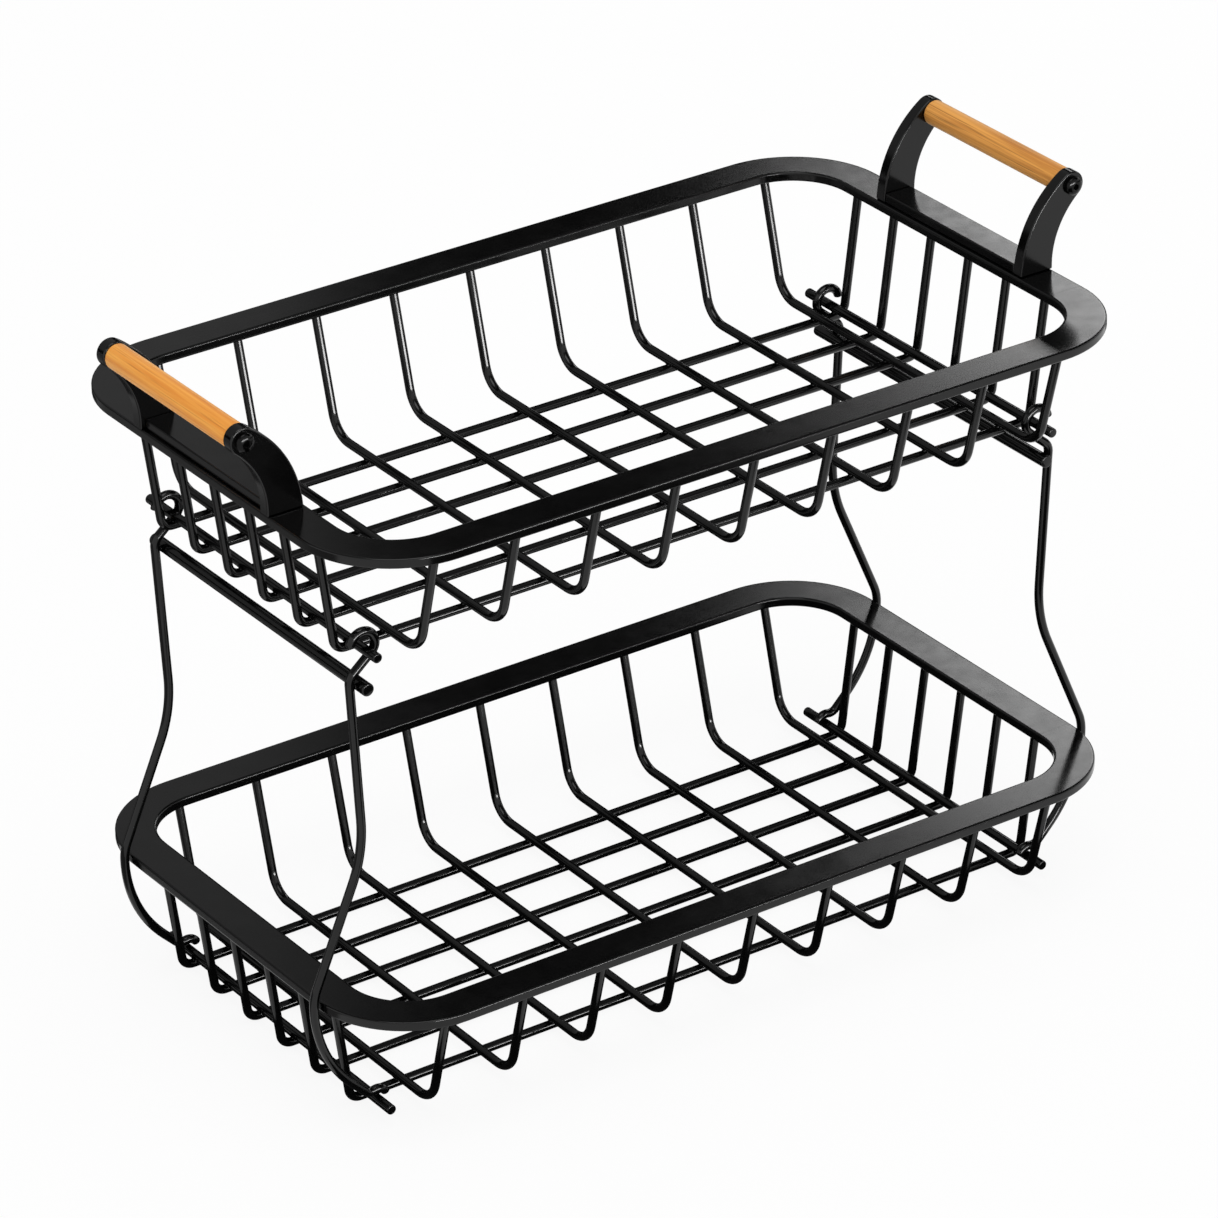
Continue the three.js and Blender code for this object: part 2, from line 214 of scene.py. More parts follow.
# Cross wires
# Nine round steel wires in each basket, bent to a wide U from front to back.
# Both ends are butted against the underside of the rim and welded, and they lie on the long wires.
wire_radius = 2 * mm
wire_sides = 20
wire_bend_steps = 10
wire_end_round = 0.2 * mm
end_round_turns = [math.radians(degrees) for degrees in (0, 30, 60, 90)]
run_hold = 0.8 * mm
shortest_held_run = 4 * run_hold
weld_bite = 0.2 * mm
weld_gap = 0.3 * mm
floor_drop_long = 61.4 * mm
floor_drop_cross = floor_drop_long - 2 * wire_radius - weld_gap
cross_wire_count = 9
cross_wire_pitch = 39.7 * mm
cross_wire_shift = 3 * mm
cross_top_reach = 106.6 * mm
cross_foot_reach = 92.6 * mm
cross_bend_radius = 13 * mm

wire_paint = paint_material(
    "gloss_black_wire_paint", roughness=0.13, peel_size=1.1 * mm, peel_depth=0.001 * mm
)


def arc(centre, radius, start, end, steps):
    points = []
    for step in range(steps + 1):
        angle = start + (end - start) * step / steps
        points.append(Vector((centre[0] + radius * math.cos(angle), centre[1] + radius * math.sin(angle))))
    return points


def bend(before, corner, after, radius, steps):
    # Replaces the corner between two straight runs by an arc that meets both.
    to_before = (before - corner).normalized()
    to_after = (after - corner).normalized()
    half = to_before.angle(to_after) / 2
    start = corner + to_before * (radius / math.tan(half))
    end = corner + to_after * (radius / math.tan(half))
    centre = corner + (to_before + to_after).normalized() * (radius / math.sin(half))
    first = math.atan2(start.y - centre.y, start.x - centre.x)
    sweep = math.atan2(end.y - centre.y, end.x - centre.x) - first
    sweep = (sweep + math.pi) % (2 * math.pi) - math.pi
    return arc(centre, radius, first, first + sweep, steps)


def hold_straight_runs(path):
    # A point close to each end of every long run, so that smooth shading leaves the run straight.
    held = [path[0]]
    for start, end in zip(path, path[1:]):
        run = end - start
        if run.length > shortest_held_run:
            held.append(start + run.normalized() * run_hold)
            held.append(end - run.normalized() * run_hold)
        held.append(end)
    return held


def capped_faces(ring_count, ring_size):
    # Rings of points joined one to the next, with a flat face over the first and the last.
    faces = ring_faces(ring_count, ring_size, False)
    faces.append(tuple(reversed(range(ring_size))))
    faces.append(tuple(range((ring_count - 1) * ring_size, ring_count * ring_size)))
    return faces


def round_wire(name, bare_path, plane_normal, radius, material, end_round):
    # Sweeps a circle along a flat path. Each cut end is rounded over by the depth given.
    path = hold_straight_runs(bare_path)
    points = []

    def add_ring(centre, along, ring_radius):
        sideways = plane_normal.cross(along).normalized()
        for i in range(wire_sides):
            angle = 2 * math.pi * i / wire_sides
            outwards = math.cos(angle) * sideways + math.sin(angle) * plane_normal
            points.append(centre + ring_radius * outwards)

    last = len(path) - 1
    start_along = (path[1] - path[0]).normalized()
    end_along = (path[last] - path[last - 1]).normalized()
    for turn in end_round_turns:
        ring_radius = radius - end_round * (1 - math.sin(turn))
        add_ring(path[0] + start_along * end_round * (1 - math.cos(turn)), start_along, ring_radius)
    for k in range(1, last):
        along = (path[k] - path[k - 1]).normalized() + (path[k + 1] - path[k]).normalized()
        add_ring(path[k], along.normalized(), radius)
    for turn in reversed(end_round_turns):
        ring_radius = radius - end_round * (1 - math.sin(turn))
        add_ring(path[last] - end_along * end_round * (1 - math.cos(turn)), end_along, ring_radius)
    faces = capped_faces(len(points) // wire_sides, wire_sides)
    return piece_from_faces(name, points, faces, material, paint_crease)


def basket_wire_path(top_reach, foot_reach, bend_radius, rim_top, floor_drop):
    top_height = rim_top - strip_thickness + weld_bite
    floor_height = rim_top - floor_drop
    top = Vector((top_reach, top_height))
    foot = Vector((foot_reach, floor_height))
    far_foot = Vector((-foot_reach, floor_height))
    far_top = Vector((-top_reach, top_height))
    near_bend = bend(top, foot, far_foot, bend_radius, wire_bend_steps)
    far_bend = bend(foot, far_foot, far_top, bend_radius, wire_bend_steps)
    return [top, *near_bend, *far_bend, far_top]


for tier, rim_top in tiers.items():
    outline = basket_wire_path(
        cross_top_reach, cross_foot_reach, cross_bend_radius, rim_top, floor_drop_cross
    )
    for i in range(cross_wire_count):
        x = cross_wire_shift + (i - (cross_wire_count - 1) / 2) * cross_wire_pitch
        path = [Vector((x, p.x, p.y)) for p in outline]
        name = f"{tier}_painted_cross_wire_{i + 1}"
        wire = round_wire(name, path, Vector((1, 0, 0)), wire_radius, wire_paint, wire_end_round)
        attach(wire, f"{tier}_basket")
        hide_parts(f"{tier}_cross_wire_{i + 1}")

# Long wires
# Six round steel wires in each basket, bent to a long low U from end to end.
# They are the lowest wires: the rack stands on them, and the cross wires are welded on top.
long_wire_count = 6
long_wire_pitch = 26.8 * mm
long_wire_shift = 2.2 * mm
long_top_reach = 186.6 * mm
long_foot_reach = 178.9 * mm
long_bend_radius = 5.5 * mm

for tier, rim_top in tiers.items():
    outline = basket_wire_path(long_top_reach, long_foot_reach, long_bend_radius, rim_top, floor_drop_long)
    for i in range(long_wire_count):
        y = long_wire_shift + (i - (long_wire_count - 1) / 2) * long_wire_pitch
        path = [Vector((p.x, y, p.y)) for p in outline]
        name = f"{tier}_painted_long_wire_{i + 1}"
        wire = round_wire(name, path, Vector((0, 1, 0)), wire_radius, wire_paint, wire_end_round)
        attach(wire, f"{tier}_basket")
        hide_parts(f"{tier}_long_wire_{i + 1}")

# End rods
# A straight steel rod across each end of a basket floor, on top of the long wires, just inside their bend.
# It sticks out a little at both ends; the eyes and hooks of the leg frames hold on to it.
end_rod_radius = 2.2 * mm
end_rod_length = 177 * mm
end_rod_end_round = 0.5 * mm
end_rod_reach = long_foot_reach - long_bend_radius
end_rod_drop = floor_drop_long - wire_radius - weld_gap - end_rod_radius
sides = {"left": -1, "right": 1}

for tier, rim_top in tiers.items():
    for side, sign in sides.items():
        z = rim_top - end_rod_drop
        path = [Vector((sign * end_rod_reach, y * end_rod_length / 2, z)) for y in (-1, 1)]
        name = f"{tier}_painted_end_rod_{side}"
        rod = round_wire(name, path, Vector((0, 0, 1)), end_rod_radius, wire_paint, end_rod_end_round)
        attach(rod, f"{tier}_basket")
        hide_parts(f"{tier}_end_rod_{side}")

# Basket welds
# Spot welds where the wires and rods cross, and a small fillet where each wire meets the rim.
# They are metal squeezed out in welding, under the same paint as the wires.
spot_neck_radius = 1.1 * mm
spot_foot_radius = 1.7 * mm
spot_reach = 0.8 * mm
fillet_radius = 3.1 * mm
fillet_drop = 1.6 * mm
fillet_root_radius = 0.97 * wire_radius
fillet_bite = 0.05 * mm
weld_sides = 14
weld_steps = 4


def add_turned(points, faces, centre, profile, lying):
    # A closed turned form from pairs of radius and height. It stands upright, or lies along X.
    first = len(points)
    for radius, height in profile:
        for i in range(weld_sides):
            angle = 2 * math.pi * i / weld_sides
            around = (radius * math.cos(angle), radius * math.sin(angle))
            offset = (height, *around) if lying else (*around, height)
            points.append(centre + Vector(offset))
    for face in capped_faces(len(profile), weld_sides):
        faces.append(tuple(first + k for k in face))


def spot_profile():
    profile = []
    for step in range(weld_steps + 1):
        part = step / weld_steps * 2 - 1
        radius = spot_neck_radius + (spot_foot_radius - spot_neck_radius) * part ** 2
        profile.append((radius, part * spot_reach))
    return profile


def fillet_profile():
    profile = []
    for step in range(weld_steps + 1):
        part = step / weld_steps
        radius = fillet_root_radius + (fillet_radius - wire_radius) * part ** 2
        profile.append((radius, (part - 1) * fillet_drop))
    return profile


for tier, rim_top in tiers.items():
    points = []
    faces = []
    cross_first = cross_wire_shift - (cross_wire_count - 1) / 2 * cross_wire_pitch
    cross_xs = [cross_first + i * cross_wire_pitch for i in range(cross_wire_count)]
    long_first = long_wire_shift - (long_wire_count - 1) / 2 * long_wire_pitch
    long_ys = [long_first + i * long_wire_pitch for i in range(long_wire_count)]
    spot_height = rim_top - floor_drop_long + wire_radius + weld_gap / 2
    for y in long_ys:
        for x in cross_xs + [-end_rod_reach, end_rod_reach]:
            add_turned(points, faces, Vector((x, y, spot_height)), spot_profile(), False)
    under_rim = rim_top - strip_thickness + fillet_bite
    for sign in (-1, 1):
        for x in cross_xs:
            top = Vector((x, sign * cross_top_reach, under_rim))
            add_turned(points, faces, top, fillet_profile(), False)
        for y in long_ys:
            top = Vector((sign * long_top_reach, y, under_rim))
            add_turned(points, faces, top, fillet_profile(), False)
    welds = piece_from_faces(f"{tier}_basket_welds", points, faces, wire_paint, paint_crease)
    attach(welds, f"{tier}_basket")

# Leg wires
# Each leg is a single steel wire: an eye round the upper end rod, a neck over the cross rod, a knee,
# a bow round the outside of the lower rim, and a hook over the lower end rod.
leg_radius = 2 * mm
leg_end_round = 0.5 * mm
back_leg_y = 74.1 * mm
front_leg_y = -77.0 * mm
leg_outset = 7 * mm
leg_reach = end_rod_reach + leg_outset
knee_inset = 4.3 * mm
knee_reach = leg_reach - knee_inset
eye_radius = 6 * mm
eye_gap = 0.35 * mm
eye_free_end = math.radians(8)
eye_neck = math.radians(40)
eye_steps = 30
neck_bend_radius = 6 * mm
neck_bend_steps = 8
knee_bend_radius = 65 * mm
knee_bend_steps = 12
leg_slope = math.radians(23.5)
solid_wire_sides = 8
bow_gap = 0.6 * mm
bow_top_radius = 22 * mm
bow_top_steps = 10
bow_low_steps = 18
hook_line = math.radians(45)
hook_gap = 0.7 * mm
hook_neck_radius = 5 * mm
hook_neck_steps = 8
hook_end = math.radians(154)
hook_steps = 10
upper_rod = Vector((end_rod_reach, tiers["upper"] - end_rod_drop))
lower_rod = Vector((end_rod_reach, tiers["lower"] - end_rod_drop))

leg_paint = paint_material(
    "gloss_black_leg_paint", roughness=0.13, peel_size=1.2 * mm, peel_depth=0.001 * mm
)


def eye_outline():
    centre = upper_rod + Vector((0, eye_radius - leg_radius - end_rod_radius - eye_gap))
    return arc(centre, eye_radius, eye_free_end, 1.5 * math.pi - eye_neck, eye_steps)


def bow_outline():
    # A tight arc above the middle of the rim and a wide one below it, down to the line to the rod.
    # The bow stands off the rim by the corners of the eight-sided solid wire.
    outward = Vector((math.sin(hook_line), -math.cos(hook_line)))
    bow_reach = rim_length / 2 + leg_radius / math.cos(math.pi / solid_wire_sides) + bow_gap
    bow_side = Vector((bow_reach, tiers["lower"] - strip_thickness / 2))
    low_radius = outward.dot(lower_rod - bow_side) / (1 - outward.x)
    top_centre = bow_side - Vector((bow_top_radius, 0))
    low_centre = bow_side - Vector((low_radius, 0))
    top_arc = arc(top_centre, bow_top_radius, leg_slope, 0, bow_top_steps)
    low_arc = arc(low_centre, low_radius, 0, -hook_line, bow_low_steps)
    return top_arc + low_arc[1:]


def hook_outline():
    # Turns up out of the line, over the lower rod, and ends on the inside of the rod.
    hook_radius = leg_radius + end_rod_radius + hook_gap
    line = math.pi / 2 - hook_line
    crest = line + math.asin(hook_neck_radius / (hook_radius + hook_neck_radius))
    to_neck = Vector((math.cos(crest), math.sin(crest)))
    neck_centre = lower_rod + to_neck * (hook_radius + hook_neck_radius)
    neck = arc(neck_centre, hook_neck_radius, line - math.pi / 2, crest - math.pi, hook_neck_steps)
    return neck + arc(lower_rod, hook_radius, crest, hook_end, hook_steps)[1:]


eye = eye_outline()
bow = bow_outline()
neck_corner = Vector((leg_reach, eye[-1].y - (leg_reach - eye[-1].x) * math.tan(eye_neck)))
knee_corner = Vector((knee_reach, bow[0].y + (bow[0].x - knee_reach) / math.tan(leg_slope)))
neck_bend = bend(eye[-1], neck_corner, knee_corner, neck_bend_radius, neck_bend_steps)
knee_bend = bend(neck_corner, knee_corner, bow[0], knee_bend_radius, knee_bend_steps)
leg_outline = [*eye, *neck_bend, *knee_bend, *bow, *hook_outline()]

for side, sign in sides.items():
    for place, y in (("front", front_leg_y), ("back", back_leg_y)):
        path = [Vector((sign * p.x, y, p.y)) for p in leg_outline]
        name = f"{side}_painted_leg_{place}"
        leg = round_wire(name, path, Vector((0, 1, 0)), leg_radius, leg_paint, leg_end_round)
        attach(leg, f"{side}_legs")
        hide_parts(f"{side}_leg_{place}")

# Leg cross rods
# A thicker straight steel rod joins the two legs of each end, just under the upper basket.
# It is spot welded to the inside of both legs and cut off square with a broken edge.
cross_rod_radius = 2.9 * mm
cross_rod_length = 166 * mm
cross_rod_end_round = 0.6 * mm
cross_rod_drop = 16.5 * mm
cross_rod_height = upper_rod.y - cross_rod_drop
leg_lean = (neck_corner.x - knee_corner.x) / (neck_corner.y - knee_corner.y)
cross_rod_offset = (leg_radius + cross_rod_radius + weld_gap) * math.hypot(1, leg_lean)
cross_rod_reach = leg_reach - leg_lean * (neck_corner.y - cross_rod_height) - cross_rod_offset
leg_weld_reach = cross_rod_reach + cross_rod_radius + weld_gap / 2

for side, sign in sides.items():
    path = [Vector((sign * cross_rod_reach, y * cross_rod_length / 2, cross_rod_height)) for y in (-1, 1)]
    name = f"{side}_painted_cross_rod"
    rod = round_wire(name, path, Vector((0, 0, 1)), cross_rod_radius, leg_paint, cross_rod_end_round)
    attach(rod, f"{side}_legs")
    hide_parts(f"{side}_leg_cross_rod")
    points = []
    faces = []
    for y in (front_leg_y, back_leg_y):
        middle = Vector((sign * leg_weld_reach, y, cross_rod_height))
        add_turned(points, faces, middle, spot_profile(), True)
    welds = piece_from_faces(f"{side}_leg_welds", points, faces, leg_paint, paint_crease)
    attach(welds, f"{side}_legs")

# Handle base bars
# A flat steel bar lies on the short end of the upper rim between the two ears of each handle.
# It is welded down along both edges, which ties the ears together.
ear_span = 92 * mm
ear_thickness = 6 * mm
ear_gap = 0.05 * mm
seat_gap = 0.3 * mm
foot_lift = 0.02 * mm
bar_width = 14.4 * mm
bar_height = 4.1 * mm
bar_edge_radius = 0.7 * mm
plate_edge_steps = 4
plate_edge_angle = math.radians(40)
no_crease = math.radians(180)
end_strip_reach = rim_length / 2 - strip_width / 2

handle_paint = paint_material(
    "gloss_black_handle_paint", roughness=0.16, peel_size=1.6 * mm, peel_depth=0.002 * mm
)


def flipped(faces):
    return [tuple(reversed(face)) for face in faces]


def rounded_plate(name, outline, turn, low, high, edge_radius, material):
    # A plate with rounded edges: a flat outline in X and Z, between two places along Y.
    # The turn is 1 where the outline runs anticlockwise as seen from the front, and -1 otherwise.
    points = []
    for y in (low, high):
        points.extend(Vector((p.x, y, p.y)) for p in outline)
    size = len(outline)
    faces = [(i, size + i, size + (i + 1) % size, (i + 1) % size) for i in range(size)]
    faces.append(tuple(range(size)))
    faces.append(tuple(reversed(range(size, 2 * size))))
    if turn < 0:
        faces = flipped(faces)
    plate = piece_from_faces(name, points, faces, material, no_crease)
    rounding = plate.modifiers.new("rounded edges", "BEVEL")
    rounding.width = edge_radius
    rounding.segments = plate_edge_steps
    rounding.limit_method = "ANGLE"
    rounding.angle_limit = plate_edge_angle
    rounding.harden_normals = True
    return plate


for side, sign in sides.items():
    bottom = tiers["upper"] + foot_lift
    top = tiers["upper"] + seat_gap + bar_height
    outline = [
        Vector((sign * end_strip_reach - bar_width / 2, bottom)),
        Vector((sign * end_strip_reach + bar_width / 2, bottom)),
        Vector((sign * end_strip_reach + bar_width / 2, top)),
        Vector((sign * end_strip_reach - bar_width / 2, top)),
    ]
    reach = ear_span / 2 - ear_gap
    bar = rounded_plate(f"{side}_painted_base_bar", outline, 1, -reach, reach, bar_edge_radius, handle_paint)
    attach(bar, "upper_basket")
    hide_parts(f"{side}_handle_base_bar")

# Handle ears
# Two thick steel plates on each end strip, swept up and outwards and rounded at the tip.
# They are cut to shape, rounded along the edges and welded to the rim and the base bar.
ear_foot_width = 17.4 * mm
ear_foot_outset = 0.9 * mm
ear_foot_reach = end_strip_reach + ear_foot_outset
ear_top_width = 12.4 * mm
ear_sweep_steps = 22
ear_tip_steps = 18
ear_edge_radius = 0.8 * mm
grip_outset = 19.3 * mm
grip_rise = 36.9 * mm
grip_reach = end_strip_reach + grip_outset
grip_height = tiers["upper"] + grip_rise


def ear_outline():
    foot_height = tiers["upper"] + foot_lift
    rise = grip_height - foot_height
    lead = grip_reach - ear_foot_reach
    sweep_radius = (lead ** 2 + rise ** 2) / (2 * lead)
    centre = Vector((ear_foot_reach + sweep_radius, foot_height))
    sweep = math.asin(rise / sweep_radius)
    inner = []
    outer = []
    for step in range(ear_sweep_steps + 1):
        part = step / ear_sweep_steps
        half_width = (ear_foot_width + (ear_top_width - ear_foot_width) * part) / 2
        angle = math.pi - sweep * part
        direction = Vector((math.cos(angle), math.sin(angle)))
        inner.append(centre + direction * (sweep_radius + half_width))
        outer.append(centre + direction * (sweep_radius - half_width))
    tip_start = math.pi - sweep
    tip = arc((grip_reach, grip_height), ear_top_width / 2, tip_start, tip_start - math.pi, ear_tip_steps)
    return inner + tip[1:-1] + outer[::-1]


for side, sign in sides.items():
    outline = [Vector((sign * p.x, p.y)) for p in ear_outline()]
    for place, y_sign in (("front", -1), ("back", 1)):
        near = ear_span / 2
        far = ear_span / 2 + ear_thickness
        low = min(y_sign * near, y_sign * far)
        high = max(y_sign * near, y_sign * far)
        name = f"{side}_painted_ear_{place}"
        ear = rounded_plate(name, outline, -sign, low, high, ear_edge_radius, handle_paint)
        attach(ear, "upper_basket")
        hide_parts(f"{side}_handle_ear_{place}")

# Handle screws
# A black steel screw with a domed head and a hexagon socket holds each end of a grip.
# It goes through the ear into the end grain of the wood; only its head shows.
screw_head_radius = 4.2 * mm
screw_head_height = 2.6 * mm
screw_foot_share = 0.35
screw_sink = 0.1 * mm
screw_steps = 36
screw_crease = math.radians(35)
dome_steps = 8
dome_sweep = math.radians(65)
socket_half_width = 1.25 * mm
socket_lip = 0.15 * mm
socket_depth = 1.4 * mm

screw_black = paint_material(
    "black_oxide_screw", roughness=0.16, peel_size=0.6 * mm, peel_depth=0.001 * mm
)
screw_black.node_tree.nodes["Principled BSDF"].inputs["Metallic"].default_value = 0.5


def screw_profile():
    # Radius, height over the ear and whether the ring has six sides, from the foot to the socket floor.
    profile = [(screw_head_radius, -screw_sink, False)]
    for step in range(dome_steps + 1):
        angle = dome_sweep * step / dome_steps
        rise = screw_foot_share + (1 - screw_foot_share) * math.sin(angle)
        profile.append((screw_head_radius * math.cos(angle), seat_gap + screw_head_height * rise, False))
    crown = profile[-1][1]
    profile.append((socket_half_width + socket_lip, crown, True))
    profile.append((socket_half_width, crown - socket_lip, True))
    profile.append((socket_half_width, crown - socket_depth, True))
    return profile


def screw_head(name, x, face_y, facing):
    points = []
    profile = screw_profile()
    for radius, height, six_sided in profile:
        for i in range(screw_steps):
            angle = 2 * math.pi * i / screw_steps
            from_flat = (angle + math.pi / 6) % (math.pi / 3) - math.pi / 6
            reach = radius / math.cos(from_flat) if six_sided else radius
            offset = Vector((reach * math.cos(angle), facing * height, reach * math.sin(angle)))
            points.append(Vector((x, face_y, grip_height)) + offset)
    faces = capped_faces(len(profile), screw_steps)
    if facing > 0:
        faces = flipped(faces)
    return piece_from_faces(name, points, faces, screw_black, screw_crease)


for side, sign in sides.items():
    for place, facing in (("front", -1), ("back", 1)):
        face_y = facing * (ear_span / 2 + ear_thickness)
        screw = screw_head(f"{side}_screw_head_{place}", sign * grip_reach, face_y, facing)
        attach(screw, "upper_basket")
        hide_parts(f"{side}_handle_screw_{place}")

# Grips
# A plain turned dowel of light hardwood between the ears of each handle, sanded and oiled.
# Straight grain runs along it, with fine darker pores; its ends are broken with sandpaper.
grip_radius = 5.7 * mm
grip_end_break = 0.8 * mm
grip_end_steps = 4
grip_sides = 48
pore_depth = 0.05 * mm
# Both grips are the same wood. The right grip's colours are darker as painted shade, for the lesser light
# that falls on its seen side.
honey_right_in_painted_shade = {"left": (0.93, 0.41, 0.06), "right": (0.82, 0.37, 0.065)}
amber_right_in_painted_shade = {"left": (0.80, 0.28, 0.026), "right": (0.56, 0.21, 0.026)}
pore_brown_right_in_painted_shade = {"left": (0.52, 0.15, 0.012), "right": (0.30, 0.10, 0.012)}
pale_fibre = (1.0, 0.86, 0.66, 1.0)


def grip_wood(side):
    # One material for each grip, so that the right one carries its painted shade in its colours.
    material = bpy.data.materials.new(f"oiled_grip_wood_{side}")
    material.use_nodes = True
    tree = material.node_tree
    surface = tree.nodes["Principled BSDF"]
    surface.inputs["IOR"].default_value = 1.45
    # The fine fibres that sanding leaves standing look pale along the edges of the dowel.
    surface.inputs["Sheen Weight"].default_value = 0.4
    surface.inputs["Sheen Roughness"].default_value = 0.35
    surface.inputs["Sheen Tint"].default_value = pale_fibre
    place = tree.nodes.new("ShaderNodeTexCoord")

    stretch = tree.nodes.new("ShaderNodeMapping")
    stretch.inputs["Scale"].default_value = (1.0, 0.02, 1.0)
    tree.links.new(place.outputs["Object"], stretch.inputs["Vector"])
    grain = tree.nodes.new("ShaderNodeTexNoise")
    grain.inputs["Scale"].default_value = 700.0
    grain.inputs["Detail"].default_value = 5.0
    grain.inputs["Distortion"].default_value = 0.3
    tree.links.new(stretch.outputs["Vector"], grain.inputs["Vector"])
    bands = tree.nodes.new("ShaderNodeValToRGB")
    bands.color_ramp.elements[0].position = 0.34
    bands.color_ramp.elements[0].color = (*amber_right_in_painted_shade[side], 1.0)
    bands.color_ramp.elements[1].position = 0.62
    bands.color_ramp.elements[1].color = (*honey_right_in_painted_shade[side], 1.0)
    tree.links.new(grain.outputs["Fac"], bands.inputs["Fac"])

    pore_stretch = tree.nodes.new("ShaderNodeMapping")
    pore_stretch.inputs["Scale"].default_value = (1.0, 0.012, 1.0)
    tree.links.new(place.outputs["Object"], pore_stretch.inputs["Vector"])
    pores = tree.nodes.new("ShaderNodeTexNoise")
    pores.inputs["Scale"].default_value = 1900.0
    pores.inputs["Detail"].default_value = 2.0
    tree.links.new(pore_stretch.outputs["Vector"], pores.inputs["Vector"])
    pore_lines = tree.nodes.new("ShaderNodeMapRange")
    pore_lines.inputs["From Min"].default_value = 0.58
    pore_lines.inputs["From Max"].default_value = 0.72
    tree.links.new(pores.outputs["Fac"], pore_lines.inputs["Value"])
    # The colour sockets of the mix node share their names with its number sockets, hence the numbers.
    darken = tree.nodes.new("ShaderNodeMix")
    darken.data_type = "RGBA"
    darken.inputs[7].default_value = (*pore_brown_right_in_painted_shade[side], 1.0)
    tree.links.new(pore_lines.outputs["Result"], darken.inputs[0])
    tree.links.new(bands.outputs["Color"], darken.inputs[6])
    tree.links.new(darken.outputs[2], surface.inputs["Base Color"])

    oil_range = tree.nodes.new("ShaderNodeMapRange")
    oil_range.inputs["To Min"].default_value = 0.42
    oil_range.inputs["To Max"].default_value = 0.62
    tree.links.new(grain.outputs["Fac"], oil_range.inputs["Value"])
    tree.links.new(oil_range.outputs["Result"], surface.inputs["Roughness"])
    relief = tree.nodes.new("ShaderNodeBump")
    relief.invert = True
    relief.inputs["Strength"].default_value = 0.5
    relief.inputs["Distance"].default_value = pore_depth
    tree.links.new(pore_lines.outputs["Result"], relief.inputs["Height"])
    tree.links.new(relief.outputs["Normal"], surface.inputs["Normal"])
    return material


for side, sign in sides.items():
    half = ear_span / 2 - ear_gap
    profile = []
    for step in range(grip_end_steps + 1):
        angle = math.pi / 2 * step / grip_end_steps
        radius = grip_radius - grip_end_break * (1 - math.sin(angle))
        along = -half + grip_end_break * (1 - math.cos(angle))
        profile.append((radius, along))
    profile.extend((radius, -along) for radius, along in reversed(profile[:]))
    points = []
    for radius, along in profile:
        for i in range(grip_sides):
            angle = 2 * math.pi * i / grip_sides
            offset = Vector((radius * math.cos(angle), along, radius * math.sin(angle)))
            points.append(Vector((sign * grip_reach, 0, grip_height)) + offset)
    faces = flipped(capped_faces(len(profile), grip_sides))
    grip = piece_from_faces(f"{side}_turned_grip", points, faces, grip_wood(side), paint_crease)
    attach(grip, "upper_basket")
    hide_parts(f"{side}_handle_grip")

# Studio
# White paper under the rack, with no edge in sight, and a plain white room round it.
# Both are white to the camera and in the gloss, and the paper keeps the shadow of the rack.
white = (1.0, 1.0, 1.0, 1.0)
paper_white = (0.95, 0.95, 0.95, 1.0)
paper_glow_share = 0.9
floor_reach = 8.0


def background_share(tree):
    # One for rays that show the background: from the camera, from gloss and through glass.
    path = tree.nodes.new("ShaderNodeLightPath")
    first = tree.nodes.new("ShaderNodeMath")
    first.operation = "MAXIMUM"
    tree.links.new(path.outputs["Is Camera Ray"], first.inputs[0])
    tree.links.new(path.outputs["Is Glossy Ray"], first.inputs[1])
    second = tree.nodes.new("ShaderNodeMath")
    second.operation = "MAXIMUM"
    tree.links.new(first.outputs[0], second.inputs[0])
    tree.links.new(path.outputs["Is Transmission Ray"], second.inputs[1])
    return second.outputs[0]


def flat_sheet(name, corners, material):
    mesh = bpy.data.meshes.new(name)
    mesh.from_pydata([Vector(corner) for corner in corners], [], [(0, 1, 2, 3)])
    mesh.materials.append(material)
    return place_in_scene(name, mesh)


floor_material = bpy.data.materials.new("white_paper_floor")
floor_material.use_nodes = True
floor_tree = floor_material.node_tree
paper = floor_tree.nodes["Principled BSDF"]
paper.inputs["Base Color"].default_value = paper_white
paper.inputs["Roughness"].default_value = 0.9
paper.inputs["Specular IOR Level"].default_value = 0.0
glow = floor_tree.nodes.new("ShaderNodeEmission")
glow.inputs["Color"].default_value = white
glow.inputs["Strength"].default_value = 1.0
keep_shadow = floor_tree.nodes.new("ShaderNodeMath")
keep_shadow.operation = "MULTIPLY"
keep_shadow.inputs[1].default_value = paper_glow_share
floor_tree.links.new(background_share(floor_tree), keep_shadow.inputs[0])
blend = floor_tree.nodes.new("ShaderNodeMixShader")
floor_tree.links.new(keep_shadow.outputs[0], blend.inputs[0])
floor_tree.links.new(paper.outputs[0], blend.inputs[1])
floor_tree.links.new(glow.outputs[0], blend.inputs[2])
floor_tree.links.new(blend.outputs[0], floor_tree.nodes["Material Output"].inputs["Surface"])

floor_corners = []
for across, along in ((-1, -1), (1, -1), (1, 1), (-1, 1)):
    floor_corners.append((across * floor_reach, along * floor_reach, 0))
floor = flat_sheet("paper_floor", floor_corners, floor_material)

world = bpy.data.worlds.new("studio_room")
bpy.context.scene.world = world
world.use_nodes = True
room_tree = world.node_tree
room_light = room_tree.nodes["Background"]
room_light.inputs["Color"].default_value = white
room_light.inputs["Strength"].default_value = 0.72
room_white = room_tree.nodes.new("ShaderNodeBackground")
room_white.inputs["Color"].default_value = white
room_white.inputs["Strength"].default_value = 1.0
room_mix = room_tree.nodes.new("ShaderNodeMixShader")
room_tree.links.new(background_share(room_tree), room_mix.inputs[0])
room_tree.links.new(room_light.outputs[0], room_mix.inputs[1])
room_tree.links.new(room_white.outputs[0], room_mix.inputs[2])
room_tree.links.new(room_mix.outputs[0], room_tree.nodes["World Output"].inputs["Surface"])

bpy.context.scene.view_settings.view_transform = "Standard"

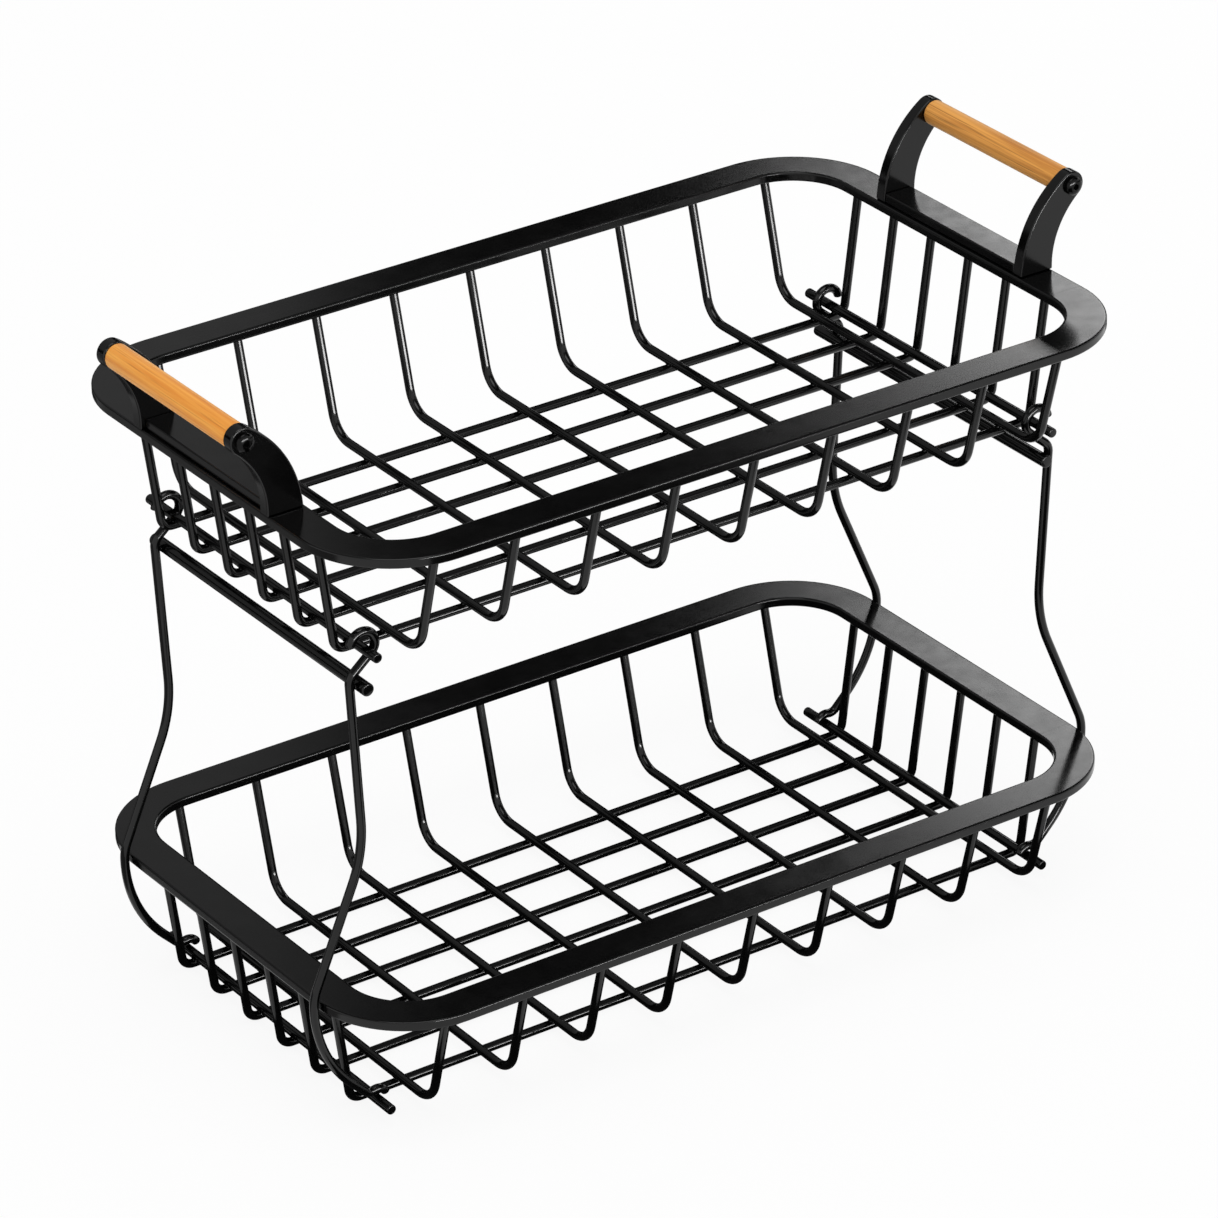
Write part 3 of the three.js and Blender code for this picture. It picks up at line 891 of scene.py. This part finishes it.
# Camera
# A long lens at the front left, 28 degrees above the table, with a very small roll.
# Its frame is square and takes in the whole rack.
camera_place = Vector((-1.40689, -2.04043, 1.46461))
camera_aim = Vector((-0.00100, -0.00322, 0.15392))
camera_roll = math.radians(-0.694)
camera_data = bpy.data.cameras.new("front_left_camera")
camera_data.sensor_width = 36.0
camera_data.sensor_height = 36.0
camera_data.lens = 191.962
camera_data.clip_end = 100.0
camera = place_in_scene("front_left_camera", camera_data)
camera.location = camera_place
level = (camera_aim - camera_place).to_track_quat("-Z", "Y")
camera.rotation_mode = "QUATERNION"
camera.rotation_quaternion = level @ Quaternion((0, 0, 1), camera_roll)
bpy.context.scene.camera = camera

# Soft boxes and cloths
# A long low soft box far in front draws the bright lines down the upper wires and lights nothing
# else, a broad one hangs overhead, and a level one behind at the right shows in the strips. Dark
# cloths round them, floor cards and one pale band show in the paint alone. The black card under
# the rack is a painted shadow there.
back_wall = 3.0
right_wall = 3.0
left_edge = -4.5
front_edge = -3.2
layer_gap = 0.02
curtain_height = 4.5
grey_curtain_end = 1.72
low_curtain_end = 1.2
low_curtain_height = 1.0
band_front = -3.1
band_back = 1.6
band_low = 0.5
band_high = 1.4
ceiling_reach = 4.5
ceiling_height = 4.4
card_height = 0.5 * mm
curtain_black = 0.01
curtain_grey = 0.33
band_pale = 1.5
ceiling_grey = 0.25
card_black = 0.03
card_grey = 0.25


def soft_box(name, place, aim, width, height, radiance):
    data = bpy.data.lights.new(name, "AREA")
    data.shape = "RECTANGLE"
    data.size = width
    data.size_y = height
    data.energy = radiance * width * height * math.pi
    lamp = place_in_scene(name, data)
    lamp.location = place
    lamp.rotation_mode = "QUATERNION"
    lamp.rotation_quaternion = (Vector(aim) - Vector(place)).to_track_quat("-Z", "Y")
    return lamp


low_box = soft_box(
    "low_front_box", (0.55, -2.78, 0.33), (0.55, 0, 0.33), width=2.1, height=0.3, radiance=32.0
)
low_box.visible_diffuse = False
soft_box("overhead_box", (-0.3, -0.6, 2.6), (0, 0, 0.2), width=1.6, height=1.6, radiance=2.4)
soft_box("back_right_box", (2.1, 1.775, 1.48), (2.1, 1.775, 0), width=0.8, height=0.95, radiance=5.0)


def reflected_cloth(name, corners, grey):
    # Cloth that only shows as a reflection in the paint, so that it takes no light from the set.
    cloth_material = bpy.data.materials.new(f"{name}_cloth")
    cloth_material.use_nodes = True
    cloth_surface = cloth_material.node_tree.nodes["Principled BSDF"]
    cloth_surface.inputs["Base Color"].default_value = (0.0, 0.0, 0.0, 1.0)
    cloth_surface.inputs["Specular IOR Level"].default_value = 0.0
    cloth_surface.inputs["Emission Color"].default_value = white
    cloth_surface.inputs["Emission Strength"].default_value = grey
    cloth = flat_sheet(name, corners, cloth_material)
    cloth.visible_camera = False
    cloth.visible_diffuse = False
    cloth.visible_transmission = False
    cloth.visible_shadow = False


def back_cloth(name, y, left, right, height, grey):
    corners = [(left, y, 0), (right, y, 0), (right, y, height), (left, y, height)]
    reflected_cloth(name, corners, grey)


def right_cloth(name, x, front, back, low, high, grey):
    corners = [(x, front, low), (x, back, low), (x, back, high), (x, front, high)]
    reflected_cloth(name, corners, grey)


low_y = back_wall - layer_gap
band_x = right_wall - layer_gap
back_cloth("back_grey_curtain", back_wall, left_edge, grey_curtain_end, curtain_height, curtain_grey)
back_cloth("back_low_black_curtain", low_y, left_edge, low_curtain_end, low_curtain_height, curtain_black)
back_cloth("back_black_curtain", back_wall, grey_curtain_end, right_wall, curtain_height, curtain_black)
right_cloth("right_black_curtain", right_wall, front_edge, back_wall, 0, curtain_height, curtain_black)
right_cloth("right_pale_band", band_x, band_front, band_back, band_low, band_high, band_pale)

ceiling_corners = []
for across, along in ((-1, -1), (-1, 1), (1, 1), (1, -1)):
    ceiling_corners.append((across * ceiling_reach, along * ceiling_reach, ceiling_height))
reflected_cloth("ceiling_cloth", ceiling_corners, ceiling_grey)


def floor_card(name, near, far, grey):
    corners = [(*near, card_height), (near[0], far[1], card_height)]
    corners += [(*far, card_height), (far[0], near[1], card_height)]
    reflected_cloth(name, corners, grey)


floor_card("left_grey_card", (-0.24, -0.05), (-2.4, 2.6), card_grey)
floor_card("front_black_card", (-0.15, -0.3), (0.34, -0.9), card_black)
floor_card("back_black_card", (-0.24, 0.2), (1.0, 2.6), card_black)
# The black card under the rack is a painted shadow: it stands for the rack's own shade on the paper beneath
# it, and shows only in the paint.
floor_card("under_rack_painted_shadow_card", (-0.2, -0.12), (0.2, 0.2), card_black)
